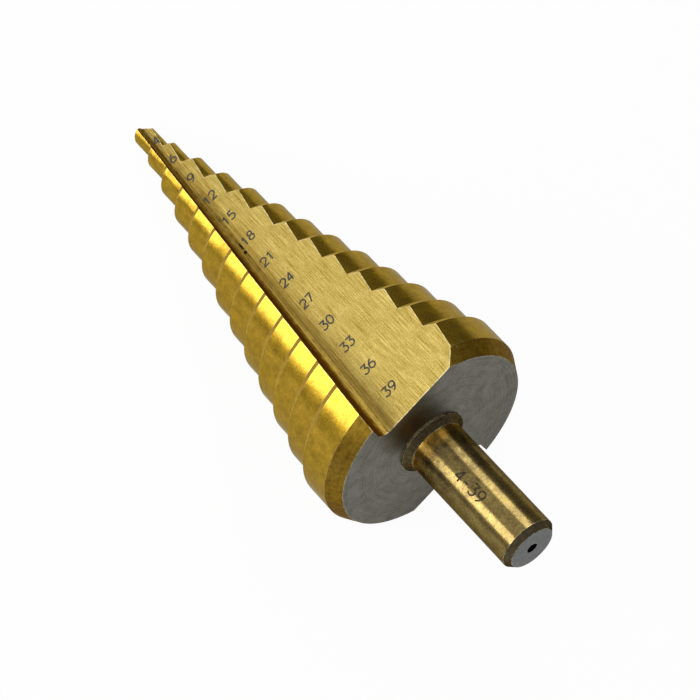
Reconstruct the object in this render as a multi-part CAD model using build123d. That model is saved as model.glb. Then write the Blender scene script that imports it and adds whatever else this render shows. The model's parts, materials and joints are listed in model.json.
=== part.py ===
from build123d import *
import itertools
import math
import os

import numpy as np

# Step drill for sheet metal: one piece of high-speed steel.
#
# It is modelled along its own axis first, with the drill point at the origin,
# the shank towards +Z and the upper flute open to +Y, and is then laid on its
# lower flute, as it comes to rest on a bench.  Millimetres, degrees.

# ---- steps ---------------------------------------------------------------
PILOT_DIAMETER = 4.0          # the drill point at the front
FIRST_STEP_DIAMETER = 6.0
STEP_GROWTH = 3.0             # each further step is this much larger
STEP_COUNT = 12               # steps behind the pilot: 6, 9, 12 ... 39
STEP_PITCH = 6.0
PILOT_LENGTH = 6.5            # from the point to the full first step
LAST_STEP_LENGTH = 9.0        # full last step to the back face
RISER_ANGLE = 45.0            # of each shoulder, from the axis
POINT_ANGLE = 118.0

# ---- back of the cutting head ----------------------------------------------
BACK_FACE_DIAMETER = 35.8
BACK_CHAMFER_LENGTH = 2.9

# ---- lands -----------------------------------------------------------------
# Each land is backed off behind its cutting edge, along the axis and inwards.
CUTTING_EDGE_ANGLE = 103.0    # of the upper land's edge, from +X about the axis
LAND_ANGLE = 124.0            # from the cutting edge to the heel
AXIAL_RELIEF = 1.3            # at the heel
RADIAL_RELIEF = 0.15          # at the heel
POINT_RELIEF = 0.75           # at the heel, for each mm of radius
LAND_SECTIONS = 12

# ---- flutes ----------------------------------------------------------------
# A straight V groove whose root climbs away from the axis towards the back.
# Its rake wall is parallel to Y; the wide face beside it rises gently.
ROOT_HEIGHT_FRONT = 0.25      # of the sharp root above the axis
ROOT_HEIGHT_BACK = 12.6
ROOT_OFFSET_FRONT = 0.14      # of the rake wall beside the axis
ROOT_OFFSET_BACK = 5.6
FACE_RISE_ANGLE = 8.5
ROOT_RADIUS_FRONT = 0.35
ROOT_RADIUS_BACK = 1.9

# ---- shank -----------------------------------------------------------------
SHANK_DIAMETER = 10.0
SHANK_LENGTH = 25.5
SHANK_CHAMFER_LENGTH = 1.1
SHANK_CHAMFER_DEPTH = 0.9
COLLAR_DIAMETER = 12.4
COLLAR_LIP = 0.35             # straight foot of the collar
COLLAR_LENGTH = 1.4           # foot and cone together
CENTRE_HOLE_DIAMETER = 2.0
CENTRE_HOLE_DEPTH = 3.0
CENTRE_HOLE_ANGLE = 60.0

# ---- worked out from the sizes above -----------------------------------------
BODY_LENGTH = PILOT_LENGTH + STEP_PITCH * (STEP_COUNT - 1) + LAST_STEP_LENGTH
TOTAL_LENGTH = BODY_LENGTH + SHANK_LENGTH
CORE_RADIUS = 0.15 * PILOT_DIAMETER / 2
TRIM = 3.0                    # run-out of a cutter or an untrimmed end


def slope(angle):
    """Run along the axis for each mm of radius, on a cone of half this angle."""
    return 1 / math.tan(math.radians(angle))


def steps():
    """Radius and front end of each step, front to back, at the cutting edge."""
    for i in range(STEP_COUNT):
        yield (FIRST_STEP_DIAMETER + STEP_GROWTH * i) / 2, PILOT_LENGTH + STEP_PITCH * i


def land_section(angle):
    """Half section of the cutting head on one side of the axis."""
    back_off = (angle - CUTTING_EDGE_ANGLE) / LAND_ANGLE
    inward = RADIAL_RELIEF * back_off
    rearward = AXIAL_RELIEF * back_off
    point_slope = slope(POINT_ANGLE / 2) + POINT_RELIEF * back_off

    inner = CORE_RADIUS * (1 + 0.2 * back_off)
    radius = PILOT_DIAMETER / 2 - inward
    outline = [(inner, inner * point_slope), (radius, radius * point_slope)]
    for step_radius, front in steps():
        next_radius = step_radius - inward
        riser = (next_radius - radius) * slope(RISER_ANGLE)
        outline += [(radius, front + rearward - riser), (next_radius, front + rearward)]
        radius = next_radius

    back_end = BODY_LENGTH + TRIM + rearward
    outline += [(radius, back_end), (inner, back_end)]
    plane = Plane.XZ.rotated((0, 0, angle))
    return make_face(plane * Polyline(*outline, close=True))


def land():
    """One relieved land, run on under both flutes so that two lands make the head."""
    run_on = (190.0 - LAND_ANGLE) / 2
    first = CUTTING_EDGE_ANGLE - run_on
    spread = LAND_ANGLE + 2 * run_on
    angles = [first + spread * i / (LAND_SECTIONS - 1) for i in range(LAND_SECTIONS)]
    return loft([land_section(angle) for angle in angles])


def core():
    """Middle of the web, with the tip of the drill point."""
    tip = CORE_RADIUS * slope(POINT_ANGLE / 2)
    reach = 1.5 * CORE_RADIUS
    back_end = BODY_LENGTH + 0.5 * TRIM
    outline = Polyline((0, 0), (CORE_RADIUS, tip), (reach, tip + CORE_RADIUS),
                       (reach, back_end), (0, back_end), close=True)
    return revolve(make_face(Plane.XZ * outline), Axis.Z)


def turned_blank():
    """The bar as turned before relief grinding: it gives the back face and its chamfer."""
    last_radius, _ = list(steps())[-1]
    back_radius = BACK_FACE_DIAMETER / 2
    chamfer_slope = BACK_CHAMFER_LENGTH / (last_radius - back_radius)
    reach = last_radius + TRIM
    outline = Polyline(
        (0, -TRIM), (reach, -TRIM),
        (reach, BODY_LENGTH - (reach - back_radius) * chamfer_slope),
        (back_radius, BODY_LENGTH), (0, BODY_LENGTH),
        close=True,
    )
    return revolve(make_face(Plane.XZ * outline), Axis.Z)


def flute_section(z):
    """The V of the upper flute where it crosses this height on the axis."""
    share = z / BODY_LENGTH
    height = ROOT_HEIGHT_FRONT + (ROOT_HEIGHT_BACK - ROOT_HEIGHT_FRONT) * share
    offset = ROOT_OFFSET_FRONT + (ROOT_OFFSET_BACK - ROOT_OFFSET_FRONT) * share
    radius = ROOT_RADIUS_FRONT + (ROOT_RADIUS_BACK - ROOT_RADIUS_FRONT) * share
    reach = FIRST_STEP_DIAMETER + STEP_GROWTH * STEP_COUNT
    rise = (reach + offset) * math.tan(math.radians(FACE_RISE_ANGLE))

    outline = Polyline((-offset, height), (reach, height + rise),
                       (reach, 2 * reach), (-offset, 2 * reach), close=True)
    vee = make_face(outline)
    root = vee.vertices().sort_by(Axis.Y)[0]
    return Plane.XY.offset(z) * fillet(root, radius)


def flute():
    """Cutter for the upper flute, from ahead of the point to behind the head."""
    return loft([flute_section(-TRIM), flute_section(BODY_LENGTH + TRIM)], ruled=True)


def shank():
    """Collar and plain round shank with a chamfered end and a lathe centre."""
    foot = BODY_LENGTH - COLLAR_LENGTH
    collar_top = BODY_LENGTH + COLLAR_LENGTH
    radius = SHANK_DIAMETER / 2
    hole = CENTRE_HOLE_DIAMETER / 2
    hole_floor = TOTAL_LENGTH - CENTRE_HOLE_DEPTH
    outline = Polyline(
        (0, foot),
        (COLLAR_DIAMETER / 2, foot),
        (COLLAR_DIAMETER / 2, BODY_LENGTH + COLLAR_LIP),
        (radius, collar_top),
        (radius, TOTAL_LENGTH - SHANK_CHAMFER_LENGTH),
        (radius - SHANK_CHAMFER_DEPTH, TOTAL_LENGTH),
        (hole, TOTAL_LENGTH),
        (hole, hole_floor),
        (0, hole_floor - hole * slope(CENTRE_HOLE_ANGLE / 2)),
        close=True,
    )
    return revolve(make_face(Plane.XZ * outline), Axis.Z)


def drill():
    """The whole tool, standing on its point along +Z."""
    upper_land = land()
    head = core() + upper_land + upper_land.rotate(Axis.Z, 180)
    head = head & turned_blank()
    upper_flute = flute()
    head = head - upper_flute - upper_flute.rotate(Axis.Z, 180)
    return (head + shank()).solid()


def rest_plane(tool):
    """Plane of the three corners on which the tool lies on its lower flute."""
    corners = np.array([tuple(v) for v in tool.vertices()])
    centre = np.array(tuple(tool.center(CenterOf.MASS)))
    low = corners[corners[:, 1] < 0]
    rests = []
    for a, b, c in itertools.combinations(low, 3):
        up = np.cross(b - a, c - a)
        length = np.linalg.norm(up)
        if length < 1e-6:
            continue
        up *= math.copysign(1 / length, up[1])
        if (corners - a).dot(up).min() < -1e-4:
            continue
        foot = centre - up * (centre - a).dot(up)
        sides = [np.cross(q - p, foot - p).dot(up) for p, q in ((a, b), (b, c), (c, a))]
        if min(sides) >= 0 or max(sides) <= 0:
            rests.append((up[1], tuple(a), tuple(up)))
    _, corner, up = max(rests)
    along = np.array([0.0, 0.0, 1.0])
    along -= np.array(up) * up[2]
    return Plane(origin=corner, x_dir=tuple(along), z_dir=up)


def lying(tool):
    """The tool at rest: shank towards +X, origin under the middle of its box."""
    tool = tool.moved(rest_plane(tool).location.inverse())
    box = tool.bounding_box()
    middle = box.center()
    return tool.moved(Location((-middle.X, -middle.Y, -box.min.Z)))


if __name__ == "__main__":
    os.makedirs("parts", exist_ok=True)
    export_step(lying(drill()), "parts/step_drill.step")
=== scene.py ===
"""Step drill for sheet metal, dressed for a plain studio picture.

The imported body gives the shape.  A merged copy of it is sorted into the ground, coated and turned
surfaces that the maker leaves on such a tool, and each surface gets the finish of its own process.
The size numbers on the flute and on the shank are marked on top.  Lengths are metres in the part's
frame; the tool's own frame, which the finishes work in, is in millimetres.
"""

import json
import logging
import math
from collections.abc import Callable
from dataclasses import dataclass
from enum import Enum

import bmesh
import bpy
from mathutils import Matrix, Vector
from mathutils.bvhtree import BVHTree

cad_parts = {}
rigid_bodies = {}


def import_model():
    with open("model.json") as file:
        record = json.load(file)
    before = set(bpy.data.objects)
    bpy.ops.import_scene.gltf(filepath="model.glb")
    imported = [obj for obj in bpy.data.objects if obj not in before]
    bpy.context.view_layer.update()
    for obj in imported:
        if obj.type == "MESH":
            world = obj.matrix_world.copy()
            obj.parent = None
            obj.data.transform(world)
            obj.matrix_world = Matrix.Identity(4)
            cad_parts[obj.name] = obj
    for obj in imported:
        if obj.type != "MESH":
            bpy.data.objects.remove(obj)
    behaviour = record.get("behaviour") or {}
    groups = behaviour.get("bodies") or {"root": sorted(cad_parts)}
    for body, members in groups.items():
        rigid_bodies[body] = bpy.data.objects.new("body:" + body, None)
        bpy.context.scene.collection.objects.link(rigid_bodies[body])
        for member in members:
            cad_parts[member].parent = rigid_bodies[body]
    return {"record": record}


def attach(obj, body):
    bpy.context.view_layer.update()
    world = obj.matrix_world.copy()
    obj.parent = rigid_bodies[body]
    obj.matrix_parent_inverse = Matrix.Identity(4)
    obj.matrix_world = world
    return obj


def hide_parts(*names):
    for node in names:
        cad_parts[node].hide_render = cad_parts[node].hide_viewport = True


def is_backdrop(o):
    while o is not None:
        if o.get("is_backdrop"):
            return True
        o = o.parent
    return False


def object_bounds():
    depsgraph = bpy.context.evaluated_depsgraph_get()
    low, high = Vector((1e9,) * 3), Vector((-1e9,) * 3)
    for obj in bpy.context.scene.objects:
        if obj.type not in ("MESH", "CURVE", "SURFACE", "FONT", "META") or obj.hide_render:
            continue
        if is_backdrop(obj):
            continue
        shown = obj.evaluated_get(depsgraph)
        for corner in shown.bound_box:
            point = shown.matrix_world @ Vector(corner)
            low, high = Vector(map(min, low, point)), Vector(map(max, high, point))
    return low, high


LOG = logging.getLogger("step_drill")
Tree = bpy.types.NodeTree
Socket = bpy.types.NodeSocket
Layers = list[tuple[Socket, str]]   # shares of the colours laid on a metal, and the colours

# Blender's names of the nodes that recur.
MATH = "ShaderNodeMath"
VECTOR_MATH = "ShaderNodeVectorMath"
MAP_RANGE = "ShaderNodeMapRange"
NOISE = "ShaderNodeTexNoise"
SEPARATE = "ShaderNodeSeparateXYZ"
COMBINE = "ShaderNodeCombineXYZ"

MM = 0.001                      # metres in a millimetre

# ------------ the tool's own sizes, mm
PILOT_DIAMETER = 4.0
FIRST_STEP_DIAMETER = 6.0
STEP_GROWTH = 3.0
STEP_COUNT = 12
STEP_PITCH = 6.0
PILOT_LENGTH = 6.5
BODY_RADIUS = 19.5              # of the last step
RELIEF_REACH = 1.6              # how far relief carries the front of a land back, and a little more
BODY_LENGTH = 81.5              # point to back face
BACK_CHAMFER_LENGTH = 2.9
COLLAR_DIAMETER = 12.4
COLLAR_LENGTH = 1.4
SHANK_DIAMETER = 10.0
SHANK_CHAMFER_LENGTH = 1.1
TOTAL_LENGTH = 107.0
CENTRE_HOLE_DIAMETER = 2.0

# The number face of the upper flute, in the tool's frame: a plane by its normal and one point.
NUMBER_FACE_NORMAL = Vector((-0.1463, 0.9765, -0.1580)).normalized()
NUMBER_FACE_POINT = Vector((0.0, 13.454, BODY_LENGTH))
FLUTE_ROLL = 15.264             # degrees the flutes stand from plumb when the tool lies at rest

# The root of a flute moves off the tool's middle plane along the tool: mm at the point, mm per mm.
ROOT_OFFSET = 0.14
ROOT_SPREAD = 0.067

# Pits in the coating beside the root of the upper flute: place and half sizes, mm.
FACE_PITS = (
    (Vector((-0.95, 5.9, 34.4)), Vector((0.19, 3.0, 1.05))),
    (Vector((-1.05, 5.9, 35.9)), Vector((0.34, 3.0, 0.42))),
)

# Levels of a noise between which patches, marks or gaps in the wear and painted edge highlight rise
# from nothing to full.
PATCH_LOW, PATCH_HIGH = 0.3, 0.7
MARK_LOW, MARK_HIGH = 0.35, 0.68
WEAR_AND_HIGHLIGHT_LOW, WEAR_AND_HIGHLIGHT_HIGH = 0.38, 0.55
# Cosines of the turn that rounding gives a normal: where wear and painted highlight begin at an
# edge and are full.
EDGE_BEGINS, EDGE_FULL = 0.995, 0.93


def linear(code: str) -> tuple[float, float, float, float]:
    """Turns an sRGB hex colour into the linear colour a socket takes.

    Args:
        code: Six hex digits after a hash.

    Returns:
        Linear red, green and blue, and an alpha of one.
    """
    parts = [int(code[i:i + 2], 16) / 255 for i in (1, 3, 5)]
    parts = [p / 12.92 if p <= 0.04045 else ((p + 0.055) / 1.055) ** 2.4 for p in parts]
    return (*parts, 1.0)


def add(tree: Tree, kind: str, inputs: dict | None = None, **settings: object) -> bpy.types.Node:
    """Adds a node with its settings, its plain values and its links.

    Args:
        tree: Node tree to add to.
        kind: Blender's name of the node type.
        inputs: Socket name or number, and a value or the output socket that feeds it.
        **settings: Properties of the node.

    Returns:
        The new node.
    """
    made = tree.nodes.new(kind)
    for name, value in settings.items():
        setattr(made, name, value)
    for name, value in (inputs or {}).items():
        if isinstance(value, Socket):
            tree.links.new(value, made.inputs[name])
        else:
            made.inputs[name].default_value = value
    return made


def emptied(owner: bpy.types.Material | bpy.types.World) -> Tree:
    """Empties the node tree of a material or a world.

    Args:
        owner: The material or the world.

    Returns:
        Its node tree.
    """
    owner.use_nodes = True
    owner.node_tree.nodes.clear()
    return owner.node_tree


def meshed(shape: bmesh.types.BMesh, name: str) -> bpy.types.Mesh:
    """Turns a shape in the making into a mesh, and frees it.

    Args:
        shape: The shape.
        name: Name of the mesh.

    Returns:
        The mesh.
    """
    mesh = bpy.data.meshes.new(name)
    shape.to_mesh(mesh)
    shape.free()
    return mesh


def shown(name: str, data: bpy.types.ID) -> bpy.types.Object:
    """Puts a mesh, curve, lamp or camera into the scene as an object.

    Args:
        name: Name of the object.
        data: The mesh, curve, lamp or camera.

    Returns:
        The object.
    """
    made = bpy.data.objects.new(name, data)
    bpy.context.scene.collection.objects.link(made)
    return made


# ------------ where the tool lies
@dataclass(frozen=True)
class ToolAxes:
    """The tool's own frame as it lies in the part's frame.

    The point is at the origin, +Z runs to the shank, and the upper flute is open to +Y.
    """

    tip: Vector
    turn: Matrix

    @classmethod
    def from_record(cls, record: dict) -> "ToolAxes":
        """Finds the tool's frame from the shank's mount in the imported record.

        Args:
            record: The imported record.

        Returns:
            The tool's frame.
        """
        shank = next(m for m in record["mounts"] if m["name"] == "shank")
        along = Vector(shank["axis"]).normalized()
        middle = BODY_LENGTH + COLLAR_LENGTH + shank["dims"]["length_mm"] / 2
        tip = Vector(shank["pos_m"]) - along * middle * MM
        side = Vector((0.0, 1.0, 0.0))
        lift = along.cross(side)
        roll = math.radians(FLUTE_ROLL)
        across = side * math.cos(roll) + lift * math.sin(roll)
        opening = along.cross(across)
        return cls(tip, Matrix((across, opening, along)).transposed())

    def place(self) -> Matrix:
        """Gives the transform from millimetres in the tool's frame to the part's frame."""
        return Matrix.Translation(self.tip) @ self.turn.to_4x4() @ Matrix.Scale(MM, 4)


class Zone(Enum):
    """Surfaces of the tool that are finished in different ways, in slot order."""

    LAND = 0
    RISER = 1
    NUMBER_FACE = 2
    FLUTE_WALL = 3
    BACK_CHAMFER = 4
    BACK_FACE = 5
    COLLAR = 6
    SHANK = 7
    SHANK_CHAMFER = 8
    END_FACE = 9
    CENTRE_HOLE = 10


# ------------ finishes
class Marks(Enum):
    """Which way a process leaves its marks."""

    ROUND = "round the tool"
    ALONG = "along the tool"
    FACED = "in rings on a flat end"


@dataclass(frozen=True)
class Metal:
    """A metal finish with the marks that its process leaves.

    Pattern sizes are millimetres in the tool's frame.  Marks are really 0.01 to 0.03 mm wide; they
    are drawn as coarse as they need to be to show.
    """

    name: str
    colour: str                   # the metal where it is clean
    deep: str                     # the metal in its marks and clouds
    roughness: float
    roughness_spread: float = 0.06
    edge_tint: str = "#C8B48C"    # what a glancing reflection is tinted
    cloud_size: float = 2.0       # cloudiness of the coating or the tarnish
    cloud_share: float = 0.35
    grain_size: float = 0.28      # fine mottling
    grain_share: float = 0.2
    marks: Marks = Marks.ROUND
    mark_width: float = 0.3       # one grinding or turning mark
    mark_length: float = 8.0
    mark_share: float = 0.3
    mark_depth: float = 0.004     # bump of the marks
    ripple_depth: float = 0.0     # slow unevenness that breaks up a reflection's edge
    ripple_size: float = 1.4
    worn: str = "#C9B27A"         # bare metal on the edges, and a painted highlight along them
    worn_share: float = 0.8
    worn_width: float = 0.22      # really 0.05 mm and less, widened so that it shows
    worn_gap: float = 0.625       # size of the gaps in the wear and painted highlight
    edge_radius: float = 0.06
    fleck: str = "#E0D4A8"        # small chips, and specks of swarf and dust
    fleck_gap: float = 0.0        # mean gap between the places of flecks, 0 for none
    fleck_empty: float = 0.6      # share of those places that stay empty
    fleck_size: float = 0.12
    fleck_blur: float = 0.03      # over which the edge of a fleck fades
    fleck_share: float = 0.9
    oil: float = 0.0              # weight of the film of rust oil
    oil_roughness: float = 0.15
    grain_along: float = 0.0      # stretch of a highlight across round marks, 0 to 1

    def build(self, axes: ToolAxes) -> bpy.types.Material:
        """Makes the material.

        Args:
            axes: The tool's frame, which the patterns are laid out in.

        Returns:
            The material.
        """
        material = bpy.data.materials.new(self.name)
        tree = emptied(material)
        spot = add(tree, "ShaderNodeTexCoord").outputs["Object"]
        spot = add(tree, "ShaderNodeMapping", {
            "Vector": spot, "Location": axes.tip, "Rotation": axes.turn.to_euler(),
            "Scale": (MM, MM, MM)}, vector_type="TEXTURE").outputs["Vector"]

        marks = self.mark_pattern(tree, spot)
        clouds = self.patches(tree, spot, self.cloud_size, self.cloud_share)
        grain = self.patches(tree, spot, self.grain_size, self.grain_share)
        depth = add(tree, MATH, {0: clouds, 1: grain}, operation="ADD").outputs[0]
        depth = add(tree, MATH, {0: marks, 1: self.mark_share, 2: depth},
                    operation="MULTIPLY_ADD", use_clamp=True).outputs[0]
        layers = [(depth, self.deep)]
        own, depth = self.own_marks(tree, spot, depth)
        layers += own
        if self.fleck_gap:
            layers.append((self.flecks(tree, spot), self.fleck))
        # edge wear, which also paints the highlights of the edges
        layers.append((self.edge_pattern(tree, spot), self.worn))
        colour = linear(self.colour)
        # The node's colours go by number, because its other sockets share their names.
        for share, tone in layers:
            colour = add(tree, "ShaderNodeMix", {0: share, 6: colour, 7: linear(tone)},
                         data_type="RGBA").outputs[2]

        rough = add(tree, MAP_RANGE, {
            "Value": depth, "To Min": self.roughness,
            "To Max": self.roughness + self.roughness_spread}).outputs["Result"]
        normal = add(tree, "ShaderNodeBevel", {
            "Radius": self.rounding(tree, spot)}, samples=4).outputs[0]
        if self.ripple_depth:
            normal = add(tree, "ShaderNodeBump", {
                "Height": self.patches(tree, spot, self.ripple_size, 1.0, detail=2.0),
                "Distance": self.ripple_depth * MM, "Normal": normal}).outputs[0]
        normal = add(tree, "ShaderNodeBump", {
            "Height": marks, "Distance": self.mark_depth * MM, "Normal": normal}).outputs[0]
        shader = add(tree, "ShaderNodeBsdfPrincipled", {
            "Base Color": colour, "Metallic": 1.0, "Roughness": rough,
            "Specular Tint": linear(self.edge_tint), "Normal": normal,
            "Coat Weight": self.oil, "Coat Roughness": self.oil_roughness,
            "Anisotropic": self.grain_along})
        if self.grain_along:
            along = add(tree, "ShaderNodeVectorTransform", {0: axes.turn.col[2]},
                        vector_type="VECTOR", convert_from="OBJECT", convert_to="WORLD").outputs[0]
            tree.links.new(along, shader.inputs["Tangent"])
        add(tree, "ShaderNodeOutputMaterial", {"Surface": shader.outputs[0]})
        return material

    def flecks(self, tree: Tree, spot: Socket) -> Socket:
        """Adds flecks at some of the places on an uneven lattice.

        Args:
            tree: The material's tree.
            spot: Place on the tool, mm.

        Returns:
            Whether there is a fleck at the place, from 0 to 1.
        """
        cell = add(tree, "ShaderNodeTexVoronoi", {
            "Vector": spot, "Scale": 1 / self.fleck_gap}).outputs
        chosen = add(tree, "ShaderNodeSeparateColor", {0: cell["Color"]}).outputs
        size = add(tree, MAP_RANGE, {
            "Value": chosen[0], "From Min": self.fleck_empty, "From Max": 1.0,
            "To Max": self.fleck_size / self.fleck_gap}).outputs["Result"]
        inside = add(tree, MATH, {0: size, 1: cell["Distance"]}, operation="SUBTRACT").outputs[0]
        return add(tree, MAP_RANGE, {
            "Value": inside, "From Max": self.fleck_blur / self.fleck_gap,
            "To Max": self.fleck_share}).outputs["Result"]

    def patches(self, tree: Tree, spot: Socket, size: float, share: float,
                detail: float = 4.0) -> Socket:
        """Adds uneven patches.

        Args:
            tree: The material's tree.
            spot: Place on the tool, mm.
            size: Size of a patch, mm.
            share: Strength of the strongest patch.
            detail: Octaves of the noise.

        Returns:
            Strength at the place, from 0 to share.
        """
        noise = add(tree, NOISE, {
            "Vector": spot, "Scale": 1 / size, "Detail": detail, "Roughness": 0.6}).outputs["Fac"]
        return add(tree, MAP_RANGE, {
            "Value": noise, "From Min": PATCH_LOW, "From Max": PATCH_HIGH,
            "To Max": share}).outputs["Result"]

    def mark_pattern(self, tree: Tree, spot: Socket) -> Socket:
        """Adds the lines that the wheel or the turning tool leaves.

        Args:
            tree: The material's tree.
            spot: Place on the tool, mm.

        Returns:
            How deep a mark is at the place, from 0 to 1.
        """
        part = add(tree, SEPARATE, {0: spot}).outputs
        if self.marks is Marks.ALONG:
            across, along = part["X"], part["Z"]
        else:
            angle = add(tree, MATH, {0: part["Y"], 1: part["X"]}, operation="ARCTAN2").outputs[0]
            along = add(tree, MATH, {0: angle, 1: BODY_RADIUS}, operation="MULTIPLY").outputs[0]
            across = part["Z"]
        if self.marks is Marks.FACED:
            flat = add(tree, COMBINE, {0: part["X"], 1: part["Y"]}).outputs[0]
            across = add(tree, VECTOR_MATH, {0: flat}, operation="LENGTH").outputs["Value"]
        line = add(tree, COMBINE, {0: across, 2: along}).outputs[0]
        line = add(tree, VECTOR_MATH, {
            0: line, 1: (1 / self.mark_width, 0.0, 1 / self.mark_length)},
            operation="MULTIPLY").outputs[0]
        noise = add(tree, NOISE, {
            "Vector": line, "Scale": 1.0, "Detail": 4.0, "Roughness": 0.7}).outputs["Fac"]
        return add(tree, MAP_RANGE, {
            "Value": noise, "From Min": MARK_LOW, "From Max": MARK_HIGH}).outputs["Result"]

    def rounding(self, tree: Tree, spot: Socket) -> float | Socket:
        """Gives the radius of the edges, metres: the same all over on a plain finish."""
        return self.edge_radius * MM

    def own_marks(self, tree: Tree, spot: Socket, depth: Socket) -> tuple[Layers, Socket]:
        """Adds what only this finish has, and gives its layers and the depth."""
        return [], depth

    def edge_pattern(self, tree: Tree, spot: Socket) -> Socket:
        """Adds the wear along the ground edges, which also paints their highlights.

        Args:
            tree: The material's tree.
            spot: Place on the tool, mm.

        Returns:
            How strong the wear and painted highlight are at the place, from 0 to 1.
        """
        rounded = add(tree, "ShaderNodeBevel", {
            "Radius": self.worn_width * MM}, samples=4).outputs[0]
        true = add(tree, "ShaderNodeNewGeometry").outputs["True Normal"]
        match = add(tree, VECTOR_MATH, {0: rounded, 1: true}, operation="DOT_PRODUCT")
        near = add(tree, MAP_RANGE, {
            "Value": match.outputs["Value"], "From Min": EDGE_BEGINS,
            "From Max": EDGE_FULL}).outputs["Result"]
        broken = add(tree, NOISE, {
            "Vector": spot, "Scale": 1 / self.worn_gap, "Detail": 5.0}).outputs["Fac"]
        broken = add(tree, MAP_RANGE, {
            "Value": broken, "From Min": WEAR_AND_HIGHLIGHT_LOW, "From Max": WEAR_AND_HIGHLIGHT_HIGH,
            "To Max": self.worn_share}).outputs["Result"]
        return add(tree, MATH, {0: near, 1: broken}, operation="MULTIPLY").outputs[0]


@dataclass(frozen=True)
class FluteMetal(Metal):
    """A flute's ground surface, darker and more deeply scored towards the root of the vee, with
    painted shade at its bottom.
    """

    root_tone: str = "#BC9630"
    root_share: float = 0.6
    root_reach: float = 4.0       # how far the tone and the scoring run out from the root
    root_full: float = 0.4        # and how far out they are at their strongest
    root_start: float = 30.0      # they grow along the tool from the point to here
    root_dark: str = "#583C0C"    # the scores, and the painted shade at the bottom of the vee
    score_width: float = 0.62     # a cell of the pattern, several times as wide as a score
    score_length: float = 110.0
    score_begins: float = 0.06    # how near the pattern's mid level a score begins
    score_full: float = 0.04
    score_share: float = 0.95
    score_fade: float = 0.6       # power of the fall away from the root, below 1 for a late one
    score_break: float = 1.4      # size of the breaks in the scoring
    score_left: float = 0.3       # what is left of a score in a break
    # painted shade along the bottom of the vee
    bottom_reach: float = 1.2
    bottom_full: float = 0.2
    bottom_share: float = 0.9
    bottom_ragged: float = 0.7    # how far the painted shade's rim wanders out
    burr: str = "#D4B45C"         # painted highlight: a pale line along the edge of the root's fillet
    burr_reach: float = 1.0
    burr_width: float = 0.12
    clear_reach: float = 0.8      # edge wear and painted highlight only beyond this distance from the root
    clear_full: float = 1.4
    pit: str = "#17120A"
    pit_crumb: float = 0.2        # size of the crumbs at a pit's rim
    pit_reach: float = 1.5        # rim of a pit in half sizes, less a noise of 0 to 1
    pit_full: float = 1.2

    def reach(self, tree: Tree, spot: Socket) -> Socket:
        """Adds the distance from the root of the vee.

        Args:
            tree: The material's tree.
            spot: Place on the tool, mm.

        Returns:
            The distance across the tool, mm, up the number face.
        """
        part = add(tree, SEPARATE, {0: spot}).outputs
        # The lower flute is the upper one turned half round, so X and Y change sign together.
        side = add(tree, MATH, {0: part["Y"]}, operation="SIGN").outputs[0]
        across = add(tree, MATH, {0: part["X"], 1: side}, operation="MULTIPLY").outputs[0]
        root = add(tree, MATH, {0: part["Z"], 1: ROOT_SPREAD, 2: ROOT_OFFSET},
                   operation="MULTIPLY_ADD").outputs[0]
        return add(tree, MATH, {0: across, 1: root}, operation="ADD").outputs[0]

    def edge_pattern(self, tree: Tree, spot: Socket) -> Socket:
        """Adds the wear and painted highlight along the ground edges, but none at the root, where
        nothing rubs.
        """
        clear = add(tree, MAP_RANGE, {
            "Value": self.reach(tree, spot), "From Min": self.clear_reach,
            "From Max": self.clear_full}).outputs["Result"]
        return add(tree, MATH, {0: super().edge_pattern(tree, spot), 1: clear},
                   operation="MULTIPLY").outputs[0]

    def own_marks(self, tree: Tree, spot: Socket, depth: Socket) -> tuple[Layers, Socket]:
        """Adds the darker tone and the scoring near the root, the painted shade at its bottom, the
        painted highlight along its fillet and the pits beside it.

        Args:
            tree: The material's tree.
            spot: Place on the tool, mm.
            depth: Depth of the marks so far.

        Returns:
            The layers of colour and the depth.
        """
        part = add(tree, SEPARATE, {0: spot}).outputs
        reach = self.reach(tree, spot)
        near = add(tree, MAP_RANGE, {
            "Value": reach, "From Min": self.root_reach,
            "From Max": self.root_full}).outputs["Result"]
        grown = add(tree, MAP_RANGE, {
            "Value": part["Z"], "From Max": self.root_start}).outputs["Result"]
        near = add(tree, MATH, {0: near, 1: grown}, operation="MULTIPLY").outputs[0]
        tone = add(tree, MATH, {0: near, 1: self.root_share}, operation="MULTIPLY").outputs[0]

        line = add(tree, COMBINE, {0: reach, 2: part["Z"]}).outputs[0]
        line = add(tree, VECTOR_MATH, {
            0: line, 1: (1 / self.score_width, 0.0, 1 / self.score_length)},
            operation="MULTIPLY").outputs[0]
        score = add(tree, NOISE, {
            "Vector": line, "Scale": 1.0, "Detail": 1.0, "Roughness": 0.5}).outputs["Fac"]
        # The pattern's mid level runs as thin lines, each one a score left by a coarse grain.
        score = add(tree, MATH, {0: score, 1: 0.5}, operation="SUBTRACT").outputs[0]
        score = add(tree, MATH, {0: score}, operation="ABSOLUTE").outputs[0]
        score = add(tree, MAP_RANGE, {
            "Value": score, "From Min": self.score_begins, "From Max": self.score_full,
            "To Max": self.score_share}).outputs["Result"]
        broken = self.patches(tree, spot, self.score_break, 1.0, detail=3.0)
        whole = add(tree, MAP_RANGE, {
            "Value": broken, "To Min": self.score_left}).outputs["Result"]
        fade = add(tree, MATH, {0: near, 1: self.score_fade}, operation="POWER").outputs[0]
        for share in (fade, whole):
            score = add(tree, MATH, {0: score, 1: share}, operation="MULTIPLY").outputs[0]

        # painted shade along the bottom of the vee, with a ragged rim
        ragged = add(tree, MATH, {0: broken, 1: -self.bottom_ragged, 2: reach},
                     operation="MULTIPLY_ADD").outputs[0]
        painted_root_shade = add(tree, MAP_RANGE, {
            "Value": ragged, "From Min": self.bottom_reach, "From Max": self.bottom_full,
            "To Max": self.bottom_share}).outputs["Result"]
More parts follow.
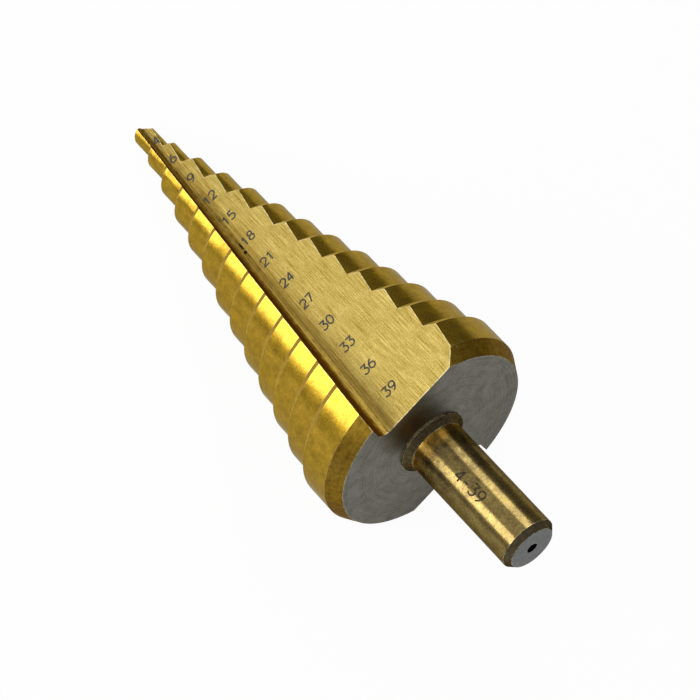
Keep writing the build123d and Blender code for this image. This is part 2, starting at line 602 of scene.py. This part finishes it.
        # painted highlight: a broken pale line along the edge of the root's fillet
        burr = add(tree, MATH, {0: reach, 1: self.burr_reach, 2: self.burr_width / 2},
                   operation="COMPARE").outputs[0]
        for _ in range(2):            # squared, so that the line is well broken up
            burr = add(tree, MATH, {0: burr, 1: broken}, operation="MULTIPLY").outputs[0]
        layers = [(tone, self.root_tone), (score, self.root_dark), (painted_root_shade, self.root_dark),
                  (burr, self.burr)]

        crumbs = add(tree, NOISE, {
            "Vector": spot, "Scale": 1 / self.pit_crumb, "Detail": 2.0}).outputs["Fac"]
        for place, size in FACE_PITS:
            away = add(tree, VECTOR_MATH, {0: spot, 1: place}, operation="SUBTRACT").outputs[0]
            away = add(tree, VECTOR_MATH, {0: away, 1: size}, operation="DIVIDE").outputs[0]
            away = add(tree, VECTOR_MATH, {0: away}, operation="LENGTH").outputs["Value"]
            away = add(tree, MATH, {0: away, 1: crumbs}, operation="ADD").outputs[0]
            layers.append((add(tree, MAP_RANGE, {
                "Value": away, "From Min": self.pit_reach,
                "From Max": self.pit_full}).outputs["Result"], self.pit))
        return layers, add(tree, MATH, {0: depth, 1: score}, operation="MAXIMUM").outputs[0]


@dataclass(frozen=True)
class ShankMetal(Metal):
    """A turned shank that ran hot near the collar, with painted dark reflection and a painted
    highlight beside the collar.
    """

    # painted dark reflection of the back face: a brown patch on the shank beside the collar
    soot: str = "#301E0E"
    soot_reach: float = 13.0      # how far the painted dark reflection runs from the collar
    soot_size: float = 1.2        # of a patch of it
    # heat tint, made bright enough that it is also a painted highlight beside the collar
    heat: str = "#F0B038"
    heat_reach: float = 2.8
    heat_size: float = 2.0
    stain_share: float = 0.8      # of either
    fillet: float = 1.0           # radius in the corner where the shank runs into the collar
    fillet_start: float = 1.5     # distance from the collar at which the rounding starts to grow

    def rounding(self, tree: Tree, spot: Socket) -> float | Socket:
        """Adds the radius of the edges, metres, which is larger in the corner at the collar.

        Args:
            tree: The material's tree.
            spot: Place on the tool, mm.

        Returns:
            The radius.
        """
        along = add(tree, SEPARATE, {0: spot}).outputs["Z"]
        start = BODY_LENGTH + COLLAR_LENGTH
        return add(tree, MAP_RANGE, {
            "Value": along, "From Min": start + self.fillet_start, "From Max": start + self.fillet,
            "To Min": self.edge_radius * MM, "To Max": self.fillet * MM}).outputs["Result"]

    def own_marks(self, tree: Tree, spot: Socket, depth: Socket) -> tuple[Layers, Socket]:
        """Adds the painted dark reflection, and the heat tint with its painted highlight, beside
        the collar.

        Args:
            tree: The material's tree.
            spot: Place on the tool, mm.
            depth: Depth of the marks so far.

        Returns:
            The layers of colour and the depth.
        """
        along = add(tree, SEPARATE, {0: spot}).outputs["Z"]
        start = BODY_LENGTH + COLLAR_LENGTH
        layers = []
        # the painted dark reflection, then the heat tint with its painted highlight
        for tone, reach, size in ((self.soot, self.soot_reach, self.soot_size),
                                  (self.heat, self.heat_reach, self.heat_size)):
            near = add(tree, MAP_RANGE, {
                "Value": along, "From Min": start + reach, "From Max": start}).outputs["Result"]
            uneven = self.patches(tree, spot, size, self.stain_share)
            layers.append((add(tree, MATH, {0: near, 1: uneven},
                               operation="MULTIPLY").outputs[0], tone))
        return layers, depth


@dataclass(frozen=True)
class BackMetal(Metal):
    """The ground back face, with painted shade and painted dark reflection between the collar and
    the upper flute.
    """

    # painted shade and painted reflection of the dark shank: a brown patch on the back face
    stain: str = "#665A42"
    stain_middle: Vector = Vector((-1.0, 9.0, BODY_LENGTH))
    stain_reach: float = 6.5      # how far the painted shade runs out
    stain_full: float = 1.5       # and how far out it is at its strongest

    def own_marks(self, tree: Tree, spot: Socket, depth: Socket) -> tuple[Layers, Socket]:
        """Adds the painted shade and painted dark reflection beside the collar.

        Args:
            tree: The material's tree.
            spot: Place on the tool, mm.
            depth: Depth of the marks so far.

        Returns:
            The layer of colour and the depth.
        """
        # painted shade, at its darkest round a point between the collar and the upper flute
        out = add(tree, VECTOR_MATH, {0: spot, 1: self.stain_middle},
                  operation="DISTANCE").outputs["Value"]
        near = add(tree, MAP_RANGE, {
            "Value": out, "From Min": self.stain_reach,
            "From Max": self.stain_full}).outputs["Result"]
        return [(near, self.stain)], depth


FINISHES = {
    # Titanium nitride on cylindrically ground high-speed steel: a bright gold that mirrors a lamp
    # as one sharp-edged band, a little cloudy under a film of rust oil.
    Zone.LAND: Metal(
        name="coated_ground_land", colour="#C9A42A", deep="#82640E", roughness=0.22,
        roughness_spread=0.03, edge_tint="#E4D6A0", cloud_size=1.6, cloud_share=0.5,
        grain_share=0.45, mark_share=0.15, mark_depth=0.002, ripple_depth=0.006, worn="#EAD48C",
        worn_share=0.5, fleck="#5E4412", fleck_gap=1.6, oil=0.28),
    # The same coating on the shoulders, where a coarser wheel leaves a more matt gold, painted
    # paler as a painted reflection of the white paper that they face at a glance.
    Zone.RISER: Metal(
        name="coated_ground_riser", colour="#DABC60", deep="#AE9048", roughness=0.44,
        edge_tint="#F0E0A8", worn="#F0E0AC", cloud_share=0.5, grain_share=0.4, oil=0.2),
    # The same coating over a surface-ground face: fine straight scratches along the tool spread the
    # light to an even satin gold, browner towards the root, scored where the wheel's corner dug
    # into it, and with painted shade at the bottom of the vee.
    Zone.NUMBER_FACE: FluteMetal(
        name="coated_surface_ground_face", colour="#E6D27E", deep="#8C7028", roughness=0.4,
        roughness_spread=0.1, edge_tint="#D8C48C", cloud_size=2.5, cloud_share=0.12, grain_size=0.2,
        grain_share=0.4, marks=Marks.ALONG, mark_width=0.11, mark_length=6.0, mark_share=0.8,
        mark_depth=0.015, worn="#FFF6C4", worn_share=1.0, worn_width=0.3),
    # The same coating where the side of the wheel rubbed: a duller gold, more streaked.
    Zone.FLUTE_WALL: FluteMetal(
        name="coated_flute_wall", colour="#DCC476", deep="#826A2C", roughness=0.42,
        edge_tint="#D8C48C", cloud_size=1.6, marks=Marks.ALONG, mark_width=0.2, mark_length=4.0,
        mark_share=0.75, mark_depth=0.015, worn="#F0DCA0"),
    # The coating runs thin over a turned bevel: a deeper, cloudy brown gold with pale chips.
    Zone.BACK_CHAMFER: Metal(
        name="coated_turned_chamfer", colour="#AC8C30", deep="#6E5214", roughness=0.38,
        edge_tint="#B8A468", cloud_size=0.9, cloud_share=0.6, grain_share=0.35, worn="#F0E4B4",
        oil=0.12, fleck="#E8D89C", fleck_gap=2.2),
    # Bare faced high-speed steel: a dull grey with fine rings, with painted shade beside the
    # collar.
    Zone.BACK_FACE: BackMetal(
        name="ground_steel_back_face", colour="#AEACA2", deep="#74726A", roughness=0.42,
        edge_tint="#D0D0C8", cloud_size=2.2, cloud_share=0.4, grain_share=0.4, marks=Marks.FACED,
        mark_length=16.0, mark_share=0.35, worn="#ECEAE0", fleck="#E0DCCC", fleck_gap=2.2,
        fleck_size=0.16),
    # Turned steel under hardening scale: nearly black olive, with pale chips where it was knocked.
    Zone.COLLAR: Metal(
        name="turned_steel_collar", colour="#8A7A58", deep="#423A28", roughness=0.5,
        edge_tint="#706848", cloud_size=0.5, cloud_share=0.6, grain_share=0.3, worn="#F0E4B8",
        worn_share=0.6, fleck="#E0D8B8", fleck_gap=1.0),
    # Turned and tempered steel with a straw oxide: a glossy bronze, whose fine rings stretch a
    # highlight along the shank.
    Zone.SHANK: ShankMetal(
        name="tempered_steel_shank", colour="#AD9855", deep="#4A3622", roughness=0.25,
        edge_tint="#B0A288", cloud_size=2.4, cloud_share=0.4, grain_share=0.3, mark_length=2.5,
        mark_share=0.35, ripple_depth=0.004, worn="#F0E0A8", fleck="#C8BC94", fleck_gap=1.5,
        fleck_size=0.1, oil=0.2, grain_along=0.95),
    # The same steel as a turned bevel: duller, with pale worn edges that also paint their
    # highlights.
    Zone.SHANK_CHAMFER: Metal(
        name="turned_steel_chamfer", colour="#86785A", deep="#4C4636", roughness=0.48,
        edge_tint="#605A48", cloud_size=0.9, cloud_share=0.5, grain_share=0.3, worn="#F0E4BC",
        worn_share=1.0),
    # Bare faced steel: an even light grey with faint rings.
    Zone.END_FACE: Metal(
        name="faced_steel_end", colour="#A2A4A2", deep="#7C7E7C", roughness=0.45,
        edge_tint="#C8C8C8", cloud_size=1.0, cloud_share=0.4, grain_share=0.4, marks=Marks.FACED,
        mark_width=0.2, worn="#E4E4E0"),
    # A drilled centre with oil left in it: nearly black.
    Zone.CENTRE_HOLE: Metal(
        name="drilled_centre_hole", colour="#2E2E34", deep="#14141A", roughness=0.5,
        worn="#50505A"),
}
# Oxide that a laser burnt through the coating: matt blue-grey figures.
FACE_PAINT = Metal(
    name="burnt_laser_mark", colour="#3A3F52", deep="#5C5A54", roughness=0.6,
    cloud_size=0.5, cloud_share=0.7, mark_share=0.2, worn="#7A7050", worn_share=0.3)
# Oxide from an electrolytic etch: matt figures, nearly black.
SHANK_PAINT = Metal(
    name="etched_shank_mark", colour="#26221E", deep="#4A4234", roughness=0.6,
    cloud_size=0.4, cloud_share=0.7, mark_share=0.2, worn="#6A6044", worn_share=0.3)


# ------------ the body
@dataclass
class DrillBody:
    """The one-piece tool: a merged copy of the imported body, sorted into its surfaces."""

    axes: ToolAxes
    node: str = "step_drill"
    merge: float = 1e-6           # metres between copies of one corner
    slack: float = 0.05           # mm that a facet's middle may lie off its surface
    flute_depth: float = 0.35     # mm below a land at which a flute begins
    # Least cosines between a facet's normal and the way its surface faces.
    flat: float = 0.99            # a flat end
    ground: float = 0.9           # a land, outwards
    bevelled: float = 0.7         # the back chamfer, outwards
    leaning: float = 0.3          # a bevel, to the shank or outwards, and a shoulder, outwards
    fronting: float = 0.35        # a shoulder, to the point
    alike: float = 0.5            # a number face, to its own normal
    # Sharpest folds that are shaded smooth.
    crease: float = math.radians(35)
    crease_in_flute: float = math.radians(60)
    crease_at_border: float = math.radians(3)

    def zone_of(self, middle: Vector, normal: Vector) -> Zone:
        """Says which surface a facet belongs to.

        Args:
            middle: The facet's middle in the tool's frame, mm.
            normal: The facet's normal in the tool's frame.

        Returns:
            The surface.
        """
        radius = math.hypot(middle.x, middle.y)
        outward = (normal.x * middle.x + normal.y * middle.y) / max(radius, 1e-6)
        past_back = middle.z - BODY_LENGTH
        if radius < CENTRE_HOLE_DIAMETER / 2 + self.slack and past_back > 0:
            return Zone.CENTRE_HOLE
        if middle.z > TOTAL_LENGTH - self.slack:
            return Zone.END_FACE
        if middle.z > TOTAL_LENGTH - SHANK_CHAMFER_LENGTH and normal.z > self.leaning:
            return Zone.SHANK_CHAMFER
        if past_back > COLLAR_LENGTH:
            return Zone.SHANK
        if abs(past_back) < self.slack and normal.z > self.flat and radius > COLLAR_DIAMETER / 2:
            return Zone.BACK_FACE
        on_collar = radius < COLLAR_DIAMETER / 2 + self.slack and past_back > -COLLAR_LENGTH
        if on_collar and outward > self.leaning:
            return Zone.COLLAR
        if past_back > -BACK_CHAMFER_LENGTH and normal.z > self.leaning and outward > self.bevelled:
            return Zone.BACK_CHAMFER
        in_flute = radius < self.land_radius(middle.z - RELIEF_REACH) - self.flute_depth
        if outward > self.ground and not in_flute:
            return Zone.LAND
        if outward > self.leaning and normal.z < -self.fronting:
            return Zone.RISER
        half_turned = Vector((-NUMBER_FACE_NORMAL.x, -NUMBER_FACE_NORMAL.y, NUMBER_FACE_NORMAL.z))
        if max(normal.dot(NUMBER_FACE_NORMAL), normal.dot(half_turned)) > self.alike:
            return Zone.NUMBER_FACE
        return Zone.FLUTE_WALL

    def land_radius(self, along: float) -> float:
        """Gives the radius of the land at a distance from the point, mm."""
        step = min(math.floor((along - PILOT_LENGTH) / STEP_PITCH), STEP_COUNT - 1)
        return (PILOT_DIAMETER if step < 0 else FIRST_STEP_DIAMETER + STEP_GROWTH * step) / 2

    def build(self) -> bpy.types.Object:
        """Makes the dressed body.

        Returns:
            The body's object.
        """
        shell = bmesh.new()
        shell.from_mesh(bpy.data.objects[self.node].data)
        bmesh.ops.remove_doubles(shell, verts=shell.verts, dist=self.merge)
        back = self.axes.place().inverted()
        turn = self.axes.turn.transposed()
        for face in shell.faces:
            zone = self.zone_of(back @ face.calc_center_median(), turn @ face.normal)
            face.material_index = zone.value
            face.smooth = True
        soft_pair = {Zone.NUMBER_FACE.value, Zone.FLUTE_WALL.value}
        for edge in shell.edges:
            kinds = {f.material_index for f in edge.link_faces}
            angle = edge.calc_face_angle(0.0)
            if len(kinds) > 1 and kinds != soft_pair:
                edge.smooth = angle < self.crease_at_border
            elif kinds == {Zone.FLUTE_WALL.value} or kinds == soft_pair:
                edge.smooth = angle < self.crease_in_flute
            else:
                edge.smooth = angle < self.crease
        mesh = meshed(shell, "dressed_step_drill")
        if "custom_normal" in mesh.attributes:
            mesh.attributes.remove(mesh.attributes["custom_normal"])
        for zone in Zone:
            mesh.materials.append(FINISHES[zone].build(self.axes))
        body = shown("dressed_step_drill", mesh)
        LOG.info("body: %s", body.name)
        return body


# ------------ the size numbers
def arc(centre: tuple[float, float], radii: tuple[float, float], start: float, end: float,
        pieces: int = 14) -> list[tuple[float, float]]:
    """Walks along an ellipse.

    Args:
        centre: Middle of the ellipse.
        radii: Half its width and half its height.
        start: Angle of the first point, degrees.
        end: Angle of the last point, degrees.
        pieces: Number of runs between the points.

    Returns:
        The points.
    """
    turns = [math.radians(start + (end - start) * i / pieces) for i in range(pieces + 1)]
    return [(centre[0] + radii[0] * math.cos(t), centre[1] + radii[1] * math.sin(t)) for t in turns]


def half_turn(strokes: list) -> list:
    """Turns a digit's strokes half round, as a six becomes a nine."""
    return [[(DIGIT_WIDTH - x, 1.0 - y) for x, y in stroke] for stroke in strokes]


def finer(stroke: list[tuple[float, float]], gap: float = 0.12) -> list[tuple[float, float]]:
    """Adds points to a stroke so that it can follow the steel.

    Args:
        stroke: The stroke's points.
        gap: Longest run that is left.

    Returns:
        The points, closer together.
    """
    points = [stroke[0]]
    for (x0, y0), (x1, y1) in zip(stroke, stroke[1:]):
        runs = max(1, math.ceil(math.hypot(x1 - x0, y1 - y0) / gap))
        points += [(x0 + (x1 - x0) * i / runs, y0 + (y1 - y0) * i / runs)
                   for i in range(1, runs + 1)]
    return points


DIGIT_WIDTH = 0.62              # of a digit's height
SIX = [arc((0.31, 0.3), (0.31, 0.3), 180, 540),
       [(0.0, 0.3), (0.05, 0.56), (0.2, 0.82), (0.44, 1.0)]]

# An engraver's single-stroke digits, on a field one high and DIGIT_WIDTH wide.
DIGITS = {
    "0": [arc((0.31, 0.5), (0.31, 0.5), 90, 450)],
    "1": [[(0.12, 0.76), (0.36, 1.0), (0.36, 0.0)]],
    "2": [arc((0.31, 0.69), (0.31, 0.31), 165, -32) + [(0.0, 0.0), (0.62, 0.0)]],
    "3": [[(0.02, 1.0), (0.6, 1.0), (0.3, 0.62)] + arc((0.3, 0.31), (0.32, 0.31), 82, -150)],
    "4": [[(0.46, 0.0), (0.46, 1.0), (0.0, 0.3), (0.62, 0.3)]],
    "5": [[(0.56, 1.0), (0.1, 1.0), (0.06, 0.56)] + arc((0.29, 0.32), (0.33, 0.32), 125, -145)],
    "6": SIX,
    "7": [[(0.0, 1.0), (0.6, 1.0), (0.22, 0.0)]],
    "8": [arc((0.31, 0.76), (0.25, 0.24), 0, 360), arc((0.31, 0.26), (0.31, 0.26), 0, 360)],
    "9": half_turn(SIX),
    "-": [[(0.1, 0.45), (0.52, 0.45)]],
}


@dataclass(frozen=True)
class SizeMark:
    """Plain numbers marked on the steel, drawn with one stroke like an engraver's."""

    name: str
    text: str
    height: float = 1.74          # of a digit, mm
    pitch: float = 1.4            # from digit to digit, mm
    stroke: float = 0.31          # width of the stroke, mm
    proud: float = 0.02           # how far the mark's middle stands off the steel, mm

    def flat(self) -> bmesh.types.BMesh:
        """Draws the text about the origin, running along +X with its tops towards +Y, mm.

        Returns:
            The flat mark.
        """
        line = bpy.data.curves.new(self.name, "CURVE")
        line.dimensions = "3D"
        line.bevel_depth = self.stroke / 2
        line.bevel_resolution = 1
        line.use_fill_caps = True
        whole = self.pitch * (len(self.text) - 1) + DIGIT_WIDTH * self.height
        for place, sign in enumerate(self.text):
            for stroke in (finer(drawn) for drawn in DIGITS[sign]):
                spline = line.splines.new("POLY")
                spline.points.add(len(stroke) - 1)
                for point, (x, y) in zip(spline.points, stroke):
                    point.co = (x * self.height + place * self.pitch - whole / 2,
                                (y - 0.5) * self.height, 0.0, 1.0)
        drawn = shown(self.name, line)
        bpy.context.view_layer.update()
        mesh = bpy.data.meshes.new_from_object(drawn)
        strokes = bmesh.new()
        strokes.from_mesh(mesh)
        bpy.data.objects.remove(drawn)
        bpy.data.curves.remove(line)
        bpy.data.meshes.remove(mesh)
        bmesh.ops.scale(strokes, vec=(1.0, 1.0, 2 * self.proud / self.stroke), verts=strokes.verts)
        return strokes

    def finish(self, strokes: bmesh.types.BMesh, paint: bpy.types.Material) -> bpy.types.Object:
        """Turns strokes that lie on the steel into a piece of the tool.

        Args:
            strokes: The mark in the part's frame, metres.
            paint: The mark's material.

        Returns:
            The piece.
        """
        bmesh.ops.recalc_face_normals(strokes, faces=strokes.faces)
        mesh = meshed(strokes, self.name)
        mesh.materials.append(paint)
        piece = shown(self.name, mesh)
        LOG.info("mark: %s", self.name)
        return piece


@dataclass
class SizeMarks:
    """The diameters down the number face, and the range of sizes on the shank."""

    axes: ToolAxes
    steel: BVHTree                 # the dressed body, in the part's frame
    first_place: float = 5.0       # the pilot's number, mm from the point
    next_place: float = 10.45
    pitch: float = 5.945           # from number to number
    offset: float = 0.8            # middle of the numbers, mm across the face from the axis
    range_text: str = "4-39"
    range_place: float = 94.2      # middle of the range, mm from the point
    range_angle: float = 95.0      # degrees round the shank
    above: float = 1.0             # mm over the steel that a mark is dropped from

    def on_face(self, along: float, flat: Vector) -> tuple[Vector, Vector]:
        """Finds where a point of a number comes above the number face.

        Args:
            along: Distance of the number from the point, mm.
            flat: Point of the flat mark, mm.

        Returns:
            A point above the face and the way out of it, in the tool's frame.
        """
        normal = NUMBER_FACE_NORMAL
        drop = (NUMBER_FACE_POINT - Vector((self.offset, 0.0, along))).dot(normal) / normal.y
        middle = Vector((self.offset, drop, along))
        tops = (Vector((0.0, 0.0, -1.0)) - normal * -normal.z).normalized()
        run = tops.cross(normal)
        return middle + run * flat.x + tops * flat.y + normal * self.above, normal

    def on_shank(self, along: float, flat: Vector) -> tuple[Vector, Vector]:
        """Finds where a point of the range comes above the shank.

        Args:
            along: Distance of the range from the point, mm.
            flat: Point of the flat mark, mm.

        Returns:
            A point above the shank and the way out of it, in the tool's frame.
        """
        angle = math.radians(self.range_angle) - flat.y / (SHANK_DIAMETER / 2)
        out = Vector((math.cos(angle), math.sin(angle), 0.0))
        return out * (SHANK_DIAMETER / 2 + self.above) + Vector((0.0, 0.0, along + flat.x)), out

    def lay(self, mark: SizeMark, along: float,
            spot: Callable[[float, Vector], tuple[Vector, Vector]],
            paint: bpy.types.Material) -> bpy.types.Object:
        """Lays a mark on the steel.

        Args:
            mark: The mark.
            along: Its distance from the point, mm.
            spot: Finds a point of the mark above the steel.
            paint: The mark's material.

        Returns:
            Its piece.
        """
        strokes = mark.flat()
        place = self.axes.place()
        for vert in strokes.verts:
            above, out = spot(along, vert.co)
            way = self.axes.turn @ out
            touch = self.steel.ray_cast(place @ above, -way)[0]
            vert.co = touch + way * vert.co.z * MM
        return mark.finish(strokes, paint)

    def build(self) -> list[bpy.types.Object]:
        """Makes all the marks.

        Returns:
            Their pieces.
        """
        paint = FACE_PAINT.build(self.axes)
        sizes = [int(PILOT_DIAMETER)] + [
            int(FIRST_STEP_DIAMETER + STEP_GROWTH * i) for i in range(STEP_COUNT)]
        spots = [self.first_place] + [self.next_place + self.pitch * i for i in range(STEP_COUNT)]
        pieces = []
        for size, along in zip(sizes, spots):
            mark = SizeMark(f"size_number_{size}", str(size))
            pieces.append(self.lay(mark, along, self.on_face, paint))
        mark = SizeMark("shank_size_range", self.range_text, height=2.0, pitch=1.7, stroke=0.3)
        pieces.append(self.lay(mark, self.range_place, self.on_shank, SHANK_PAINT.build(self.axes)))
        return pieces


# ------------ the studio
@dataclass(frozen=True)
class Softbox:
    """One long soft lamp beside the tool, with its length along the tool."""

    name: str
    offset: tuple[float, float, float]      # from the middle of the tool, metres
    length: float
    width: float
    radiance: float

    def build(self, aim: Vector, along: Vector) -> None:
        """Hangs the lamp.

        Args:
            aim: The point it lights.
            along: The tool's axis.
        """
        lamp = bpy.data.lights.new(self.name, "AREA")
        lamp.shape = "RECTANGLE"
        lamp.size, lamp.size_y = self.length, self.width
        lamp.energy = self.radiance * math.pi * self.length * self.width
        hung = shown(self.name, lamp)
        back = (Vector(self.offset) - along * along.dot(Vector(self.offset))).normalized()
        turn = Matrix((along, back.cross(along), back)).transposed()
        hung.matrix_world = Matrix.Translation(aim + Vector(self.offset)) @ turn.to_4x4()


@dataclass
class Studio:
    """A sheet of white paper on a bench, a plain room and two soft lamps."""

    paper_low: tuple[float, float] = (-0.7, -0.7)      # corners of the paper, metres
    paper_high: tuple[float, float] = (0.7, 0.13)
    paper: str = "#CCCCCC"
    camera_white: float = 0.96     # how far the paper is lifted to white for the camera
    gloss_white: float = 0.07      # and for what the metal mirrors
    window: Vector = Vector((-0.63, -0.23, 0.74))      # the way to the paler side of the room
    window_begins: float = 0.3     # cosine from that way at which the room starts to pale
    window_full: float = 0.95
    room_pale: float = 0.92
    room_dark: float = 0.15
    key: Softbox = Softbox("key_softbox", (-0.1198, -0.3111, 0.2299), 0.46, 0.21, 4.8)
    fill: Softbox = Softbox("fill_softbox", (-0.2938, 0.3836, 0.5474), 0.75, 0.33, 3.45)

    def floor(self) -> bpy.types.Object:
        """Lays the white paper.

        Returns:
            The paper.
        """
        sheet = bmesh.new()
        bmesh.ops.create_grid(sheet, x_segments=1, y_segments=1, size=0.5)
        low, high = Vector(self.paper_low), Vector(self.paper_high)
        bmesh.ops.scale(sheet, vec=(*(high - low), 1.0), verts=sheet.verts)
        bmesh.ops.translate(sheet, vec=(*((high + low) / 2), 0.0), verts=sheet.verts)
        material = bpy.data.materials.new("white_paper")
        tree = emptied(material)
        paper = add(tree, "ShaderNodeBsdfDiffuse", {"Color": linear(self.paper)})
        glow = add(tree, "ShaderNodeEmission", {"Color": linear("#FFFFFF"), "Strength": 1.0})
        ray = add(tree, "ShaderNodeLightPath").outputs
        seen = add(tree, MATH, {0: ray["Is Camera Ray"], 1: self.camera_white},
                   operation="MULTIPLY").outputs[0]
        mirrored = add(tree, MATH, {0: ray["Is Glossy Ray"], 1: ray["Is Transmission Ray"]},
                       operation="MAXIMUM").outputs[0]
        lift = add(tree, MATH, {0: mirrored, 1: self.gloss_white, 2: seen},
                   operation="MULTIPLY_ADD").outputs[0]
        both = add(tree, "ShaderNodeMixShader", {0: lift, 1: paper.outputs[0], 2: glow.outputs[0]})
        add(tree, "ShaderNodeOutputMaterial", {"Surface": both.outputs[0]})
        mesh = meshed(sheet, "white_paper")
        mesh.materials.append(material)
        return shown("white_paper", mesh)

    def room(self) -> None:
        """Sets the plain room round the paper: paler towards its window."""
        world = bpy.data.worlds.new("plain_room")
        tree = emptied(world)
        way = add(tree, "ShaderNodeTexCoord").outputs["Generated"]
        toward = add(tree, VECTOR_MATH, {0: way, 1: self.window.normalized()},
                     operation="DOT_PRODUCT").outputs["Value"]
        level = add(tree, MAP_RANGE, {
            "Value": toward, "From Min": self.window_begins, "From Max": self.window_full,
            "To Min": self.room_dark, "To Max": self.room_pale}).outputs[0]
        plain = add(tree, "ShaderNodeBackground", {"Color": linear("#FFFFFF"), "Strength": level})
        white = add(tree, "ShaderNodeBackground", {"Color": linear("#FFFFFF"), "Strength": 1.0})
        ray = add(tree, "ShaderNodeLightPath").outputs
        both = add(tree, "ShaderNodeMixShader", {
            0: ray["Is Camera Ray"], 1: plain.outputs[0], 2: white.outputs[0]})
        add(tree, "ShaderNodeOutputWorld", {"Surface": both.outputs[0]})
        bpy.context.scene.world = world

    def build(self, aim: Vector, along: Vector) -> None:
        """Sets up the studio round the tool.

        Args:
            aim: The middle of the tool.
            along: The tool's axis.
        """
        self.floor()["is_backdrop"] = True
        self.room()
        self.key.build(aim, along)
        self.fill.build(aim, along)
        LOG.info("studio: paper, room and two lamps")


@dataclass(frozen=True)
class Camera:
    """The camera, by where it stands, where it looks and how far it is rolled."""

    place: Vector = Vector((0.15083, -0.12183, 0.50237))
    forward: Vector = Vector((-0.27755, 0.23332, -0.93195))
    roll: float = 2.054           # degrees
    lens: float = 164.83
    sensor: float = 36.0

    def build(self) -> None:
        """Sets the camera up and makes it the scene's own."""
        data = bpy.data.cameras.new("camera")
        data.lens, data.sensor_width = self.lens, self.sensor
        data.clip_start, data.clip_end = 0.01, 20.0
        camera = shown("camera", data)
        look = self.forward.to_track_quat("-Z", "Y").to_matrix()
        camera.matrix_world = Matrix.Translation(self.place) @ (
            look @ Matrix.Rotation(math.radians(self.roll), 3, "Z")).to_4x4()
        bpy.context.scene.camera = camera


def main() -> None:
    logging.basicConfig(level=logging.INFO, format="%(name)s: %(message)s")
    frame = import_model()
    cad_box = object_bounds()
    axes = ToolAxes.from_record(frame["record"])

    body = DrillBody(axes).build()
    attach(body, "root")
    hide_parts("step_drill")

    steel = BVHTree.FromObject(body, bpy.context.evaluated_depsgraph_get())
    for mark in SizeMarks(axes, steel).build():
        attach(mark, "root")

    low, high = cad_box
    Studio().build((low + high) / 2, axes.turn.col[2])
    Camera().build()
    bpy.context.scene.view_settings.view_transform = "Standard"


if __name__ == "__main__":
    main()
